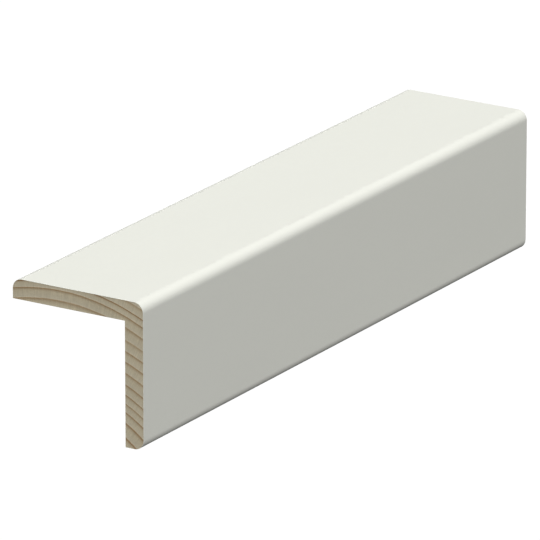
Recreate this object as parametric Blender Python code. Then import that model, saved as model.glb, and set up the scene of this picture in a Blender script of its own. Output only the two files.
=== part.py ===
"""Outside corner moulding: one length of milled, painted pine with an L-shaped section.

It lies with one leg flat on top and the other hanging down on the +X side, its length along Y.
The origin is the middle of the inner corner line, which sits on the corner of a wall.
Metres, +Z up.
"""

from math import cos, pi, radians, sin

import bmesh
import bpy

# Sizes of the moulding
LENGTH = 0.210
TOP_LEG_WIDTH = 0.043
SIDE_LEG_WIDTH = 0.043
LEG_THICKNESS = 0.006
CORNER_RADIUS = 0.003
ARRIS_RADIUS = 0.003

# Segments of each rounded arris, and the angle above which an edge stays sharp
ARC_SEGMENTS = 16
SHARP_ANGLE = radians(25)

# Closer points than this are one, as where two arcs meet
MERGE_DISTANCE = 0.000001

# Off-white factory paint, in linear colour
PAINT_COLOUR = (0.83, 0.84, 0.77, 1.0)
PAINT_ROUGHNESS = 0.45


def clear_scene():
    for obj in list(bpy.data.objects):
        bpy.data.objects.remove(obj, do_unlink=True)


def painted_pine():
    material = bpy.data.materials.new("painted_pine")
    material.use_nodes = True
    shader = material.node_tree.nodes["Principled BSDF"]
    shader.inputs["Base Color"].default_value = PAINT_COLOUR
    shader.inputs["Roughness"].default_value = PAINT_ROUGHNESS
    shader.inputs["Metallic"].default_value = 0.0
    material.diffuse_color = PAINT_COLOUR
    material.roughness = PAINT_ROUGHNESS
    return material


def arc(centre_x, centre_z, radius, start):
    """A quarter circle in the section, turning clockwise from the start angle, as (x, z) points."""
    angles = [start - pi / 2 * i / ARC_SEGMENTS for i in range(ARC_SEGMENTS + 1)]
    return [(centre_x + radius * cos(a), centre_z + radius * sin(a)) for a in angles]


def section_outline():
    """The L-shaped section, clockwise from the inner corner, as (x, z) points."""
    left = LEG_THICKNESS - TOP_LEG_WIDTH
    bottom = LEG_THICKNESS - SIDE_LEG_WIDTH
    outside = LEG_THICKNESS
    arris = min(ARRIS_RADIUS, LEG_THICKNESS)
    inner_corner = [(0.0, 0.0), (left, 0.0)]
    top_leg_arris = arc(left + arris, outside - arris, arris, pi)
    outer_corner = arc(outside - CORNER_RADIUS, outside - CORNER_RADIUS, CORNER_RADIUS, pi / 2)
    side_leg_arris = arc(outside - arris, bottom + arris, arris, 0.0)
    side_leg_end = [(0.0, bottom)]
    return inner_corner + top_leg_arris + outer_corner + side_leg_arris + side_leg_end


def corner_moulding():
    """The section extruded along Y and cut square at both ends."""
    shape = bmesh.new()
    ring = [shape.verts.new((x, -LENGTH / 2, z)) for x, z in section_outline()]
    near_end = shape.faces.new(ring)
    extruded = bmesh.ops.extrude_face_region(shape, geom=[near_end], use_keep_orig=True)["geom"]
    far_end = [item for item in extruded if isinstance(item, bmesh.types.BMVert)]
    bmesh.ops.translate(shape, vec=(0.0, LENGTH, 0.0), verts=far_end)
    bmesh.ops.remove_doubles(shape, verts=shape.verts, dist=MERGE_DISTANCE)
    bmesh.ops.recalc_face_normals(shape, faces=shape.faces)
    mesh = bpy.data.meshes.new("corner_moulding")
    shape.to_mesh(mesh)
    shape.free()
    mesh.shade_smooth()
    mesh.set_sharp_from_angle(angle=SHARP_ANGLE)
    mesh.materials.append(painted_pine())
    obj = bpy.data.objects.new("corner_moulding", mesh)
    bpy.context.scene.collection.objects.link(obj)


clear_scene()
corner_moulding()
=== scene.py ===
import math

import bpy
import numpy as np
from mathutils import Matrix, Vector


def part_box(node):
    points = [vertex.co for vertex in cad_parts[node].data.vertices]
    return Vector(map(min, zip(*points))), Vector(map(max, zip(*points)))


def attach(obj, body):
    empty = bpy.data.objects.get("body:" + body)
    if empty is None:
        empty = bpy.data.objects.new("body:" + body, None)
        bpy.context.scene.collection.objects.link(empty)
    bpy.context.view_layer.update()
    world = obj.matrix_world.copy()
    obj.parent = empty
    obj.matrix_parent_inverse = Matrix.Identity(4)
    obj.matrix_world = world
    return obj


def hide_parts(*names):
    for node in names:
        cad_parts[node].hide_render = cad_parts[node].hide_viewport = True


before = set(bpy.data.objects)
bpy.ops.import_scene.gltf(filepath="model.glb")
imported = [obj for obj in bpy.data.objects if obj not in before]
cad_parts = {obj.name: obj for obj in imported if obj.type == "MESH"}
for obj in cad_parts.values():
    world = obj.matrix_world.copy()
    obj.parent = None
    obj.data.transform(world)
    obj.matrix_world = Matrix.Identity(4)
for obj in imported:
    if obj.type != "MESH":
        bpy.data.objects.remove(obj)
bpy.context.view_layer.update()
nodeLow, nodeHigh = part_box("corner_moulding")
millimetres = 1000.0  # the growth rings and the textures are worked out in millimetres
print("frame loaded:", len(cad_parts), "node")


class Signal:
    # one output of a node: an operation on it adds a Math node to the same tree
    def __init__(self, maker, socket):
        self.maker = maker
        self.socket = socket

    def maths(self, operation, *values):
        return self.maker.node("ShaderNodeMath", {"operation": operation}, dict(enumerate(values)))

    def __add__(self, other):
        return self.maths("ADD", self, other)

    def __sub__(self, other):
        return self.maths("SUBTRACT", self, other)

    def __rsub__(self, other):
        return self.maths("SUBTRACT", other, self)

    def __mul__(self, other):
        return self.maths("MULTIPLY", self, other)

    def __truediv__(self, other):
        return self.maths("DIVIDE", self, other)

    __radd__ = __add__
    __rmul__ = __mul__

    def fraction(self):
        return self.maths("FRACT", self)

    def root(self):
        return self.maths("SQRT", self)

    def sine(self):
        return self.maths("SINE", self)

    def larger(self, other):
        return self.maths("MAXIMUM", self, other)

    def smaller(self, other):
        return self.maths("MINIMUM", self, other)

    def limited(self):
        return self.larger(0.0).smaller(1.0)


class NodeMaker:
    # adds nodes to one tree: settings first, then the values and links of the sockets
    def __init__(self, tree):
        self.tree = tree

    def node(self, kind, settings=None, sockets=None, output=0):
        made = self.tree.nodes.new(kind)
        for name, value in (settings or {}).items():
            if name == "stops":
                self.setStops(made.color_ramp, value)
            else:
                setattr(made, name, value)
        for name, value in (sockets or {}).items():
            self.feed(made.inputs[name], value)
        return Signal(self, made.outputs[output])

    def feed(self, socket, value):
        if isinstance(value, Signal):
            self.tree.links.new(value.socket, socket)
        else:
            socket.default_value = value

    def setStops(self, ramp, stops):
        ramp.interpolation = "LINEAR"
        while len(ramp.elements) < len(stops):
            ramp.elements.new(1.0)
        for element, (position, colour) in zip(ramp.elements, stops):
            element.position = position
            element.color = (*colour, 1.0)

    def ramp(self, stops, share):
        return self.node("ShaderNodeValToRGB", {"stops": stops}, {0: share})

    def greyRamp(self, stops, share):
        return self.ramp([(at, (value, value, value)) for at, value in stops], share)

    def blend(self, share, first, second):
        return self.node(
            "ShaderNodeMix", {"data_type": "RGBA"}, {"Factor": share, 6: first, 7: second}, output=2
        )

    def scaled(self, vector, factor):
        return self.node("ShaderNodeVectorMath", {"operation": "SCALE"}, {0: vector, "Scale": factor})

    def noise(self, vector, scale, detail):
        sockets = {"Vector": vector, "Scale": scale, "Detail": detail}
        return self.node("ShaderNodeTexNoise", {"noise_dimensions": "3D"}, sockets)

    def axes(self, vector):
        # the x, y and z of a vector
        split = self.node("ShaderNodeSeparateXYZ", None, {0: vector})
        return [Signal(self, output) for output in split.socket.node.outputs]

    def bump(self, height, distance, strength):
        return self.node(
            "ShaderNodeBump", None, {"Height": height, "Distance": distance, "Strength": strength}
        )


def newFinish(name, roughness):
    # a material with plain values on its shader, ready for what varies over the surface
    material = bpy.data.materials.new(name)
    material.use_nodes = True
    maker = NodeMaker(material.node_tree)
    shader = material.node_tree.nodes["Principled BSDF"]
    shader.inputs["Roughness"].default_value = roughness
    shader.inputs["Metallic"].default_value = 0.0
    return material, maker, shader


pine = {
    "pith": (-22.0, -66.0),  # centre of the tree in the section, in mm from the inner corner
    "pithLean": (3.0, -5.0),  # how far the tree's centre moves from the near end to the far one
    "firstLine": 31.5,  # radius of the innermost dark line
    # the width of each year, and how dark each line between them is, from the innermost one outwards
    "yearWidths": (
        *(3.7, 3.5, 3.7, 2.7, 2.2, 2.3, 2.7, 3.1, 3.0),
        *(2.9, 3.0, 3.5, 3.0, 2.0, 2.6, 2.9, 2.7, 3.1),
    ),
    "lineDepths": (
        *(0.7, 0.8, 0.9, 0.85, 0.85, 0.65, 0.82, 0.75, 0.65, 0.7),
        *(0.7, 0.42, 0.6, 0.8, 1.3, 0.4, 0.6, 0.7, 0.6),
    ),
    "bow": 0.0009,  # the rings bend more tightly than circles: this much, in mm, for each square mm
    "bowPlace": (-14.0, 0.27),  # from this place along the top leg, and how far the rings lie out there
    "bowLeft": -0.8,  # distances to the left of that place count less
    "tilt": 0.065,  # rings inside tiltFrom lie flatter in the side leg: this much, in mm, for each mm
    "tiltPlace": 1.5,  # to the right of this place
    "tiltFrom": 67.0,
    "tiltBlend": 3.0,
    "wobble": 0.9,  # waviness of the rings at the far end, in mm
    "wobbleScale": 0.022,  # waves in one mm
    "fineWobble": 0.1,
    "fineWobbleScale": 0.30,
    "earlyWood": (0.623, 0.562, 0.418),
    "midWood": (0.603, 0.529, 0.373),
    "midShare": 0.60,  # the share of a year's growth that ends in midWood
    "turnWood": (0.560, 0.458, 0.292),
    "lateWood": (0.341, 0.210, 0.100),
    # how much late wood there is at each share of a year
    "lateStops": ((0.0, 1.0), (0.05, 0.0), (0.70, 0.0), (0.85, 0.22), (0.94, 1.0), (1.0, 1.0)),
    "denseFrom": 0.8,  # the share of a year where the wood starts to be hard enough to stand proud
    "denseOver": 0.12,
    "raysAround": 190.0,  # rays in one radian
    "raysOutward": 0.28,  # and in one mm outwards
    "raysAlong": 0.16,  # and in one mm along the length
    "rayContrast": 0.38,
    "cell": (0.22, 9.0, 0.22),  # the wood's finest marks, in mm
    "cellContrast": 0.27,
    "cloud": (14.0, 60.0, 9.0),  # paler and darker patches
    "cloudContrast": 0.16,
    "sawMark": (7.0, 5.0, 0.35),
    "fibre": (0.15, 14.0, 0.15),
    "knifePitch": 1.3,  # from one mark of the planer's knives to the next
    "endRoughness": 0.78,
    "backRoughness": 0.62,
    "endHeight": 0.5,  # of late wood, cells and saw marks on the cut ends
    "backHeights": {"lateWood": 0.4, "fibres": 0.7, "knifeMarks": 0.12, "paint": 1.5},
    "bump": 0.00003,  # a height of 1 is this many metres
    "bumpStrength": 0.5,
}
paint = {
    "colour": (0.850, 0.858, 0.788),
    "mist": (0.9, 1.6, 0.9),  # cells of the fine and of the broad changes in shade, in mm
    "drift": (16.0, 40.0, 16.0),
    "shadeContrast": 0.02,
    "roughness": 0.50,
    "roughnessContrast": 0.10,
    "peel": (1.1, 1.5, 1.1),  # cells of the orange peel
    # how high the rings under the paint stand at each share of a year, and how much of that is felt
    "feltStops": ((0.0, 0.5), (0.2, 0.0), (0.7, 0.1), (0.92, 1.0), (1.0, 0.5)),
    "felt": 0.15,
    "bump": 0.00002,
    "bumpStrength": 0.35,
    "wrap": 0.9,  # how far the paint runs round onto the bare back, in mm
    "wrapLeast": 0.35,
    "wrapEdge": 0.25,  # the paint there thins out over this width
    "ragged": (2.0, 3.5, 2.0),  # cells of its ragged line
    "raggedSpread": (2.6, 0.9),  # that noise times the first, less the second, is a share of the wrap
}


def bentRadius(x, z, alongShare, root, larger):
    # the distance to the tree's leaning centre line, in mm, bent out of round: plus a parabola in x that is
    # flatter on its left, and for the inner rings minus a tilt across the side leg. x and z are signals or
    # arrays in mm, and root and larger are the square root and the larger of two for them
    fromPithX = x - pine["pith"][0] - alongShare * pine["pithLean"][0]
    fromPithZ = z - pine["pith"][1] - alongShare * pine["pithLean"][1]
    radius = root(fromPithX * fromPithX + fromPithZ * fromPithZ)
    fromBow = x - pine["bowPlace"][0]
    fromBow = larger(fromBow, fromBow * pine["bowLeft"])
    bow = fromBow * fromBow * pine["bow"] - pine["bowPlace"][1]
    inside = (pine["tiltFrom"] - radius) / pine["tiltBlend"]
    inside = 1.0 - larger(1.0 - larger(inside, 0.0), 0.0)
    tilt = (larger(x, 0.0) - pine["tiltPlace"]) * pine["tilt"] * inside
    return radius + bow - tilt, fromPithX, fromPithZ


def ringLines():
    # the bent radius of each dark line, in mm
    return pine["firstLine"] + np.cumsum((0.0,) + pine["yearWidths"])


def placeInMillimetres(maker):
    return maker.scaled(maker.node("ShaderNodeTexCoord", output="Object"), millimetres)


def ringRadius(maker, place):
    # the bent radius, plus a slow wobble that grows from the near end and a fine one that is the same all
    # along, and the angle about the tree's centre
    x, y, z = maker.axes(place)
    length = (nodeHigh.y - nodeLow.y) * millimetres
    alongShare = (y - nodeLow.y * millimetres) / length
    radius, fromPithX, fromPithZ = bentRadius(x, z, alongShare, Signal.root, Signal.larger)
    slow = maker.noise(place, pine["wobbleScale"], detail=1.0)
    fine = maker.noise(place, pine["fineWobbleScale"], detail=2.0)
    radius = radius + (slow - 0.5) * alongShare * (2 * pine["wobble"])
    radius = radius + (fine - 0.5) * (2 * pine["fineWobble"])
    return radius, fromPithX.maths("ARCTAN2", fromPithX, fromPithZ)


def betweenLines(maker, radius, values):
    # values holds one number for each dark line, and straight stretches join them
    lines = ringLines()
    span = float(lines[-1] - lines[0])
    places = ((lines - lines[0]) / span).tolist()
    return maker.greyRamp(zip(places, values), (radius - float(lines[0])) / span)


def yearShare(maker, radius):
    # how much of its year's growth a point has behind it: years run evenly between the dark lines
    years = len(pine["yearWidths"])
    age = betweenLines(maker, radius, [year / years for year in range(years + 1)]) * float(years)
    return age.fraction()


def stretchedNoise(maker, place, cell, detail=2.0):
    # noise whose cells measure cell = (x, y, z) millimetres
    stretch = tuple(1.0 / size for size in cell)
    moved = maker.node("ShaderNodeVectorMath", {"operation": "MULTIPLY"}, {0: place, 1: stretch})
    return maker.noise(moved, 1.0, detail)


def pineColour(maker, place):
    # the wood's colour, and how much of it is late wood
    radius, angle = ringRadius(maker, place)
    grown = yearShare(maker, radius)
    growthStops = [(0.0, pine["earlyWood"]), (pine["midShare"], pine["midWood"]), (1.0, pine["turnWood"])]
    growth = maker.ramp(growthStops, grown)
    late = maker.greyRamp(pine["lateStops"], grown)
    depth = betweenLines(maker, radius, pine["lineDepths"])
    ring = maker.blend(late * depth, growth, (*pine["lateWood"], 1.0))
    # rays run out from the tree's centre: noise that changes fast with the angle and slowly with the radius
    around = angle * pine["raysAround"]
    outward = radius * pine["raysOutward"]
    along = maker.axes(place)[1] * pine["raysAlong"]
    rayPlace = maker.node("ShaderNodeCombineXYZ", None, {0: around, 1: outward, 2: along})
    rays = maker.noise(rayPlace, 1.0, detail=2.0)
    cells = stretchedNoise(maker, place, pine["cell"])
    clouds = stretchedNoise(maker, place, pine["cloud"])
    shade = (rays - 0.5) * pine["rayContrast"] + (cells - 0.5) * pine["cellContrast"]
    shade = shade + (clouds - 0.5) * pine["cloudContrast"] + 1.0
    return maker.scaled(ring, shade), late


def sawnPine():
    # the cut ends: bare wood, dull, with the fine marks of the saw
    material, maker, shader = newFinish("sawnPine", pine["endRoughness"])
    place = placeInMillimetres(maker)
    colour, late = pineColour(maker, place)
    maker.feed(shader.inputs["Base Color"], colour)
    cells = stretchedNoise(maker, place, pine["cell"])
    sawMarks = stretchedNoise(maker, place, pine["sawMark"])
    height = (late + cells + sawMarks) * pine["endHeight"]
    maker.feed(shader.inputs["Normal"], maker.bump(height, pine["bump"], pine["bumpStrength"]))
    return material


def planedPine():
    # the back, which goes against the wall: planed smooth, with paint run round from the tips
    material, maker, shader = newFinish("planedPine", pine["backRoughness"])
    place = placeInMillimetres(maker)
    colour, late = pineColour(maker, place)
    x, y, z = maker.axes(place)
    fromTip = x.smaller(z) - nodeLow.x * millimetres
    ragged = stretchedNoise(maker, place, paint["ragged"], detail=4.0)
    spread, lowered = paint["raggedSpread"]
    reach = (ragged * spread - lowered) * paint["wrap"] + paint["wrapLeast"]
    covered = ((reach - fromTip) / paint["wrapEdge"]).limited()
    mixed = maker.blend(covered, colour, (*paint["colour"], 1.0))
    maker.feed(shader.inputs["Base Color"], mixed)
    roughness = covered * (paint["roughness"] - pine["backRoughness"]) + pine["backRoughness"]
    maker.feed(shader.inputs["Roughness"], roughness)
    knifeMarks = (y * (2 * math.pi / pine["knifePitch"])).sine()
    fibres = stretchedNoise(maker, place, pine["fibre"])
    heights = pine["backHeights"]
    height = late * heights["lateWood"] + fibres * heights["fibres"]
    height = height + knifeMarks * heights["knifeMarks"] + covered * heights["paint"]
    maker.feed(shader.inputs["Normal"], maker.bump(height, pine["bump"], pine["bumpStrength"]))
    return material


def satinPaint():
    # sprayed paint: even colour, a fine orange peel, and the rings below just felt through it
    material, maker, shader = newFinish("satinPaint", paint["roughness"])
    place = placeInMillimetres(maker)
    mist = stretchedNoise(maker, place, paint["mist"], detail=3.0)
    drift = stretchedNoise(maker, place, paint["drift"])
    shade = (mist - 0.5) * paint["shadeContrast"] + (drift - 0.5) * paint["shadeContrast"] + 1.0
    maker.feed(shader.inputs["Base Color"], maker.scaled(paint["colour"], shade))
    roughness = (mist - 0.5) * paint["roughnessContrast"] + paint["roughness"]
    maker.feed(shader.inputs["Roughness"], roughness)
    peel = stretchedNoise(maker, place, paint["peel"])
    grown = yearShare(maker, ringRadius(maker, place)[0])
    height = peel + maker.greyRamp(paint["feltStops"], grown) * paint["felt"]
    maker.feed(shader.inputs["Normal"], maker.bump(height, paint["bump"], paint["bumpStrength"]))
    return material


moulding = {
    "cornerRadius": 0.003,
    "arrisRadius": 0.003,
    "cell": 0.00025,  # grid on the cut ends
    "band": 0.010,  # grid along the length
    "paintFilm": 0.00004,  # the paint's thickness, seen edge on round the cut ends
    "rimRadius": 0.00003,  # the saw's edge, just broken
    "rimSteps": 4,
    "rimSupport": 0.0002,  # an extra row this far behind the rim, so that its roundness stays there
    "endRelief": 0.00004,  # soft early wood stands this far behind the late wood
    "sharpAngle": math.radians(30),
}


def legSection(along, across, inset):
    # one leg's section from its tip (along 0) to the corner's diagonal (along 1), as straight lines
    # from the inner edge (across 0) to the outer edge (across 1). The inner edge is straight. The outer
    # edge is a share of its own length: a quarter round at the tip, a straight run and half a quarter
    # round at the corner. inset moves every edge that far into the wood
    tip = nodeLow.x + inset
    outside = nodeHigh.z - inset
    arris = moulding["arrisRadius"] - inset
    corner = moulding["cornerRadius"] - inset
    straight = outside - corner - (tip + arris)
    arrisRun = arris * math.pi / 2
    cornerRun = corner * math.pi / 4
    run = along * (arrisRun + straight + cornerRun)
    arrisTurn = np.clip(run / arris, 0.0, math.pi / 2)
    ahead = np.clip(run - arrisRun, 0.0, straight)
    cornerTurn = np.clip((run - arrisRun - straight) / corner, 0.0, math.pi / 4)
    outerX = tip + arris * (1 - np.cos(arrisTurn)) + ahead + corner * np.sin(cornerTurn)
    outerZ = outside - arris * (1 - np.sin(arrisTurn)) - corner * (1 - np.cos(cornerTurn))
    innerX = tip + along * (inset - tip)
    x = innerX + across * (outerX - innerX)
    z = inset + across * (outerZ - inset)
    return x, z


def wholeSection(along, across, inset):
    # the top leg for along 0 to 1, and for along 1 to 2 the same leg mirrored at the corner's diagonal
    x, z = legSection(np.minimum(along, 2 - along), across, inset)
    onSide = along > 1
    return np.where(onSide, z, x), np.where(onSide, x, z)


def edgeLoop(count, depth):
    # indices that go once round a count by depth grid: inner edge, far tip, outer edge, near tip
    inner = np.arange(count) * depth
    farTip = (count - 1) * depth + np.arange(1, depth)
    outer = np.arange(count - 2, -1, -1) * depth + depth - 1
    nearTip = np.arange(depth - 2, 0, -1)
    return np.concatenate([inner, farTip, outer, nearTip])


def hardness(x, z, y):
    # how far the wood stands proud at a point of a cut end, from 0 to 1: the bent radius turned into
    # years, of which the last fifth grows dense
    alongShare = (y - nodeLow.y) / (nodeHigh.y - nodeLow.y)
    radius = bentRadius(x * millimetres, z * millimetres, alongShare, np.sqrt, np.maximum)[0]
    lines = ringLines()
    years = np.interp(radius, lines, np.arange(len(lines)))
    return np.clip((years % 1.0 - pine["denseFrom"]) / pine["denseOver"], 0.0, 1.0)


def buildMoulding():
    # a closed skin: the section as a grid on each cut end, and its edge carried along the length, where
    # the first and last steps turn through a quarter round of the rim radius
    leg = -nodeLow.x
    thickness = nodeHigh.z
    film = moulding["paintFilm"]
    legCells = round(leg / moulding["cell"])
    wallCells = round(thickness / moulding["cell"])
    half = np.concatenate([[0.0], np.linspace(film / leg, 1.0, legCells + 1)])
    along = np.concatenate([half, 2 - half[-2::-1]])[:, None]
    across = np.concatenate([np.linspace(0.0, 1.0 - film / thickness, wallCells + 1), [1.0]])[None, :]
    count, depth = along.size, across.size

    rim = moulding["rimRadius"]
    turn = np.linspace(0.0, math.pi / 2, moulding["rimSteps"] + 1)
    rimInset = rim * (1 - np.sin(turn))
    rimBack = rim * (1 - np.cos(turn))
    bands = round((nodeHigh.y - nodeLow.y) / moulding["band"])
    support = rim + moulding["rimSupport"]
    middle = np.linspace(nodeLow.y + support, nodeHigh.y - support, bands + 1)
    rows = np.concatenate([nodeLow.y + rimBack, middle, nodeHigh.y - rimBack[::-1]])
    insets = np.concatenate([rimInset, np.zeros(middle.size), rimInset[::-1]])

    loop = edgeLoop(count, depth)
    endX, endZ = wholeSection(along, across, rim)
    fromEdge = np.minimum(np.minimum(along, 2 - along) * leg, np.minimum(across, 1 - across) * thickness)
    soften = np.clip((fromEdge - film) / film, 0.0, 1.0)
    points = []
    for y, inward in ((nodeLow.y, 1.0), (nodeHigh.y, -1.0)):
        relief = moulding["endRelief"] * soften * (1 - hardness(endX, endZ, y))
        points.append(np.stack([endX, y + inward * relief, endZ], axis=-1).reshape(-1, 3))
    wallX, wallZ = wholeSection(along[None], across[None], insets[:, None, None])
    wallX = wallX.reshape(rows.size, -1)[1:-1, loop]
    wallZ = wallZ.reshape(rows.size, -1)[1:-1, loop]
    wallY = np.broadcast_to(rows[1:-1, None], wallX.shape)
    points.append(np.stack([wallX, wallY, wallZ], axis=-1).reshape(-1, 3))

    grid = np.arange(count * depth).reshape(count, depth)
    corners = [grid[:-1, :-1], grid[1:, :-1], grid[1:, 1:], grid[:-1, 1:]]
    nearFaces = np.stack(corners, axis=-1).reshape(-1, 4)
    farFaces = nearFaces[:, ::-1] + grid.size
    inside = 2 * grid.size + np.arange((rows.size - 2) * loop.size).reshape(-1, loop.size)
    wall = np.concatenate([loop[None], inside, loop[None] + grid.size])
    nextWall = np.roll(wall, -1, axis=1)
    wallFaces = np.stack([wall[:-1], wall[1:], nextWall[1:], nextWall[:-1]], axis=-1).reshape(-1, 4)

    painted, sawn, planed = 0, 1, 2
    endFinish = np.full((count - 1, depth - 1), sawn)
    endFinish[:, -1] = painted
    endFinish[0, :] = painted
    endFinish[-1, :] = painted
    wallFinish = np.full((rows.size - 1, loop.size), painted)
    wallFinish[:, : count - 1] = planed
    finishes = np.concatenate([endFinish.ravel(), endFinish.ravel(), wallFinish.ravel()])

    mesh = bpy.data.meshes.new("cornerMoulding")
    faces = np.concatenate([nearFaces, farFaces, wallFaces])
    mesh.from_pydata(np.concatenate(points).tolist(), [], faces.tolist())
    mesh.polygons.foreach_set("material_index", finishes.astype(np.int32))
    mesh.shade_smooth()
    mesh.set_sharp_from_angle(angle=moulding["sharpAngle"])
    for material in (satinPaint(), sawnPine(), planedPine()):
        mesh.materials.append(material)
    mesh.validate()
    piece = bpy.data.objects.new("cornerMoulding", mesh)
    bpy.context.scene.collection.objects.link(piece)
    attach(piece, "root")
    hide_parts("corner_moulding")
    print("moulding:", len(faces), "faces")


studio = {
    "floorDrop": 0.40,  # the floor lies this far below, so that its shadow stays out of the picture
    "floorSize": 20.0,
    "floorGlow": 1.04,  # just past white, so that the floor is even in the picture
    "ambient": 0.07,
    "keyFrom": (-0.12, -0.62, 0.78),
    "keyStrength": 2.40,
    "keySoftness": math.radians(30),
    "sideFrom": (0.75, 0.0, 0.66),
    "sideStrength": 2.005,
    "sideSoftness": math.radians(30),
    "backFrom": (-0.66, 0.62, -0.42),
    "backStrength": 2.95,
    "backSoftness": math.radians(12),
}


def addSun(name, fromDirection, strength, angle):
    light = bpy.data.lights.new(name, "SUN")
    light.energy = strength
    light.angle = angle
    lamp = bpy.data.objects.new(name, light)
    lamp.rotation_mode = "QUATERNION"
    lamp.rotation_quaternion = Vector(fromDirection).to_track_quat("Z", "Y")
    bpy.context.scene.collection.objects.link(lamp)


def buildStudio():
    # a pale floor well below, soft light from above the front, from the right and, for the hidden sides,
    # from behind
    half = studio["floorSize"] / 2
    level = nodeLow.z - studio["floorDrop"]
    corners = [(-half, -half, level), (half, -half, level), (half, half, level), (-half, half, level)]
    mesh = bpy.data.meshes.new("floor")
    mesh.from_pydata(corners, [], [(0, 1, 2, 3)])
    floor = bpy.data.objects.new("floor", mesh)
    bpy.context.scene.collection.objects.link(floor)
    material, maker, shader = newFinish("paleFloor", 1.0)
    shader.inputs["Base Color"].default_value = (0.0, 0.0, 0.0, 1.0)
    shader.inputs["Specular IOR Level"].default_value = 0.0
    shader.inputs["Emission Color"].default_value = (1.0, 1.0, 1.0, 1.0)
    shader.inputs["Emission Strength"].default_value = studio["floorGlow"]
    # it is clear from below, so that the underside can be looked at
    fromBelow = maker.node("ShaderNodeNewGeometry", output="Backfacing")
    clear = maker.node("ShaderNodeBsdfTransparent")
    glow = Signal(maker, shader.outputs[0])
    surface = maker.node("ShaderNodeMixShader", None, {0: fromBelow, 1: glow, 2: clear})
    maker.feed(material.node_tree.nodes["Material Output"].inputs["Surface"], surface)
    mesh.materials.append(material)
    floor.visible_diffuse = False
    floor.visible_glossy = False
    floor.visible_shadow = False

    for place in ("key", "side", "back"):
        strength = studio[place + "Strength"]
        addSun(place + "Light", studio[place + "From"], strength, studio[place + "Softness"])

    world = bpy.data.worlds.new("surround")
    world.use_nodes = True
    bpy.context.scene.world = world
    maker = NodeMaker(world.node_tree)
    background = world.node_tree.nodes["Background"]
    # what the camera sees past the floor is as pale as the floor, and the part is lit less by it
    seen = maker.node("ShaderNodeLightPath", output="Is Camera Ray")
    strength = seen * (studio["floorGlow"] - studio["ambient"]) + studio["ambient"]
    maker.feed(background.inputs["Strength"], strength)
    background.inputs["Color"].default_value = (1.0, 1.0, 1.0, 1.0)
    bpy.context.scene.view_settings.view_transform = "Standard"
    print("studio ready")


view = {
    "yaw": math.radians(31.88),  # the camera looks this far left of the length's direction
    "pitch": math.radians(18.42),  # and this far down
    "aim": (-0.01711, -0.00177, -0.01747),
    "distance": 2.319,
    "focalLength": 537.9,
    "sensor": 36.0,
}


def buildCamera():
    # the camera stands back from the aim point along its own line of sight
    lens = bpy.data.cameras.new("camera")
    lens.lens = view["focalLength"]
    lens.sensor_width = view["sensor"]
    camera = bpy.data.objects.new("camera", lens)
    flat = math.cos(view["pitch"])
    sight = Vector(
        (-math.sin(view["yaw"]) * flat, math.cos(view["yaw"]) * flat, -math.sin(view["pitch"]))
    )
    camera.location = Vector(view["aim"]) - sight * view["distance"]
    camera.rotation_mode = "QUATERNION"
    camera.rotation_quaternion = sight.to_track_quat("-Z", "Y")
    bpy.context.scene.collection.objects.link(camera)
    bpy.context.scene.camera = camera
    print("camera ready")


buildMoulding()
buildStudio()
buildCamera()
